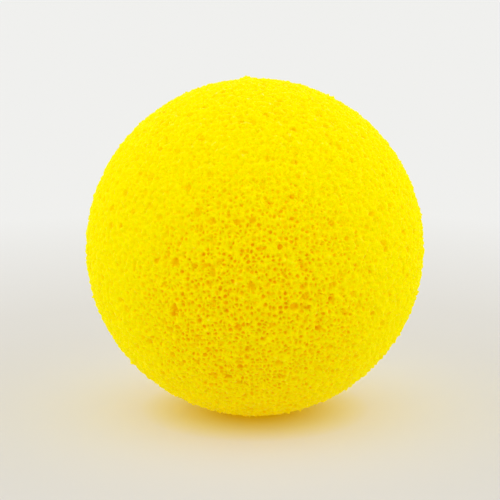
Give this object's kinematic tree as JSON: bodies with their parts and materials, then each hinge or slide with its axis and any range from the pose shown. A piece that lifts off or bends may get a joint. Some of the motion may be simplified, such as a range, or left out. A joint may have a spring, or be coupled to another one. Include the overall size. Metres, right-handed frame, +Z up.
{
  "type": "foam stress ball",
  "caption": "Round squeeze ball of soft open-cell foam in plain yellow, to press in the hand at a desk.",
  "frame": {"origin": "middle of the small flat that the ball rests on", "axes": "+Z up, through the ball's centre; X and Y are equal, because the ball is round about Z"},
  "size_m": [0.063, 0.063, 0.0629],
  "materials": {
    "yellow_foam": "matte open-cell polyurethane foam, coloured right through"
  },
  "bodies": {
    "root": {"foam_ball": "yellow_foam"}
  },
  "joints": []
}
